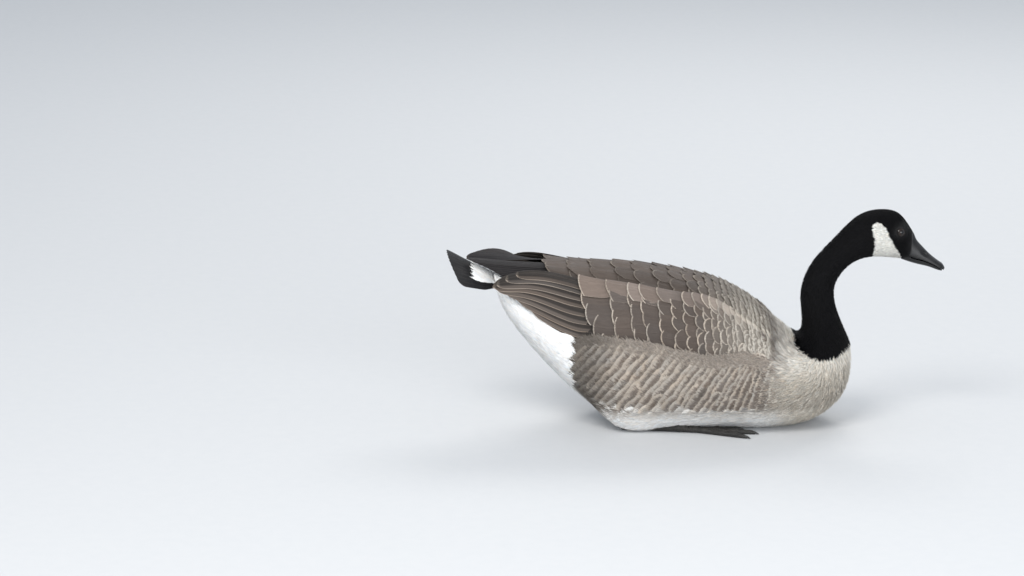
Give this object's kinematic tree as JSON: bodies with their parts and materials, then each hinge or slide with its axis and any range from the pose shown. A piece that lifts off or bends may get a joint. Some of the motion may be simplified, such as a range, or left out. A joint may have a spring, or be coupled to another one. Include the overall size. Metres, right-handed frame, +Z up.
{
  "type": "canada goose",
  "caption": "Life-size Canada goose at rest on its belly with its feet tucked under, neck curved and head lowered, with tiers of wing and tail feathers.",
  "frame": {"origin": "on the ground, in the middle of the flat patch of the belly that the bird rests on", "axes": "+X towards the bill, +Y the bird's left, +Z up"},
  "size_m": [0.6219, 0.1883, 0.2712],
  "materials": {
    "body_plumage": "soft matt body feathers: pale grey-brown sides with cream edges, cream breast, white vent",
    "neck_plumage": "matt black feathers, fine and close, faintly furrowed",
    "head_plumage": "matt black short feathers with a white patch from cheek to cheek under the chin",
    "back_plumage": "grey-brown back and shoulder feathers with pale edges",
    "wing_plumage": "grey-brown wing coverts with pale edges and smooth brown secondaries",
    "flight_feathers": "dark slate wing tips",
    "tail_feathers": "black tail feathers",
    "bill": "satin black horn with nostrils and a nail",
    "eye": "wet dark brown eye",
    "foot_skin": "dark grey scaly skin, webbed toes, small claws"
  },
  "bodies": {
    "root": {"torso": "body_plumage", "neck_lower": "neck_plumage", "neck_upper": "neck_plumage", "head": "head_plumage", "bill_upper": "bill", "bill_lower": "bill", "eye_L": "eye", "eye_R": "eye", "wing_L": "wing_plumage", "wing_R": "wing_plumage", "scapulars_L": "back_plumage", "scapulars_R": "back_plumage", "primaries_L": "flight_feathers", "primaries_R": "flight_feathers", "tail": "tail_feathers", "shank_L": "foot_skin", "shank_R": "foot_skin", "foot_L": "foot_skin", "foot_R": "foot_skin"}
  },
  "joints": []
}
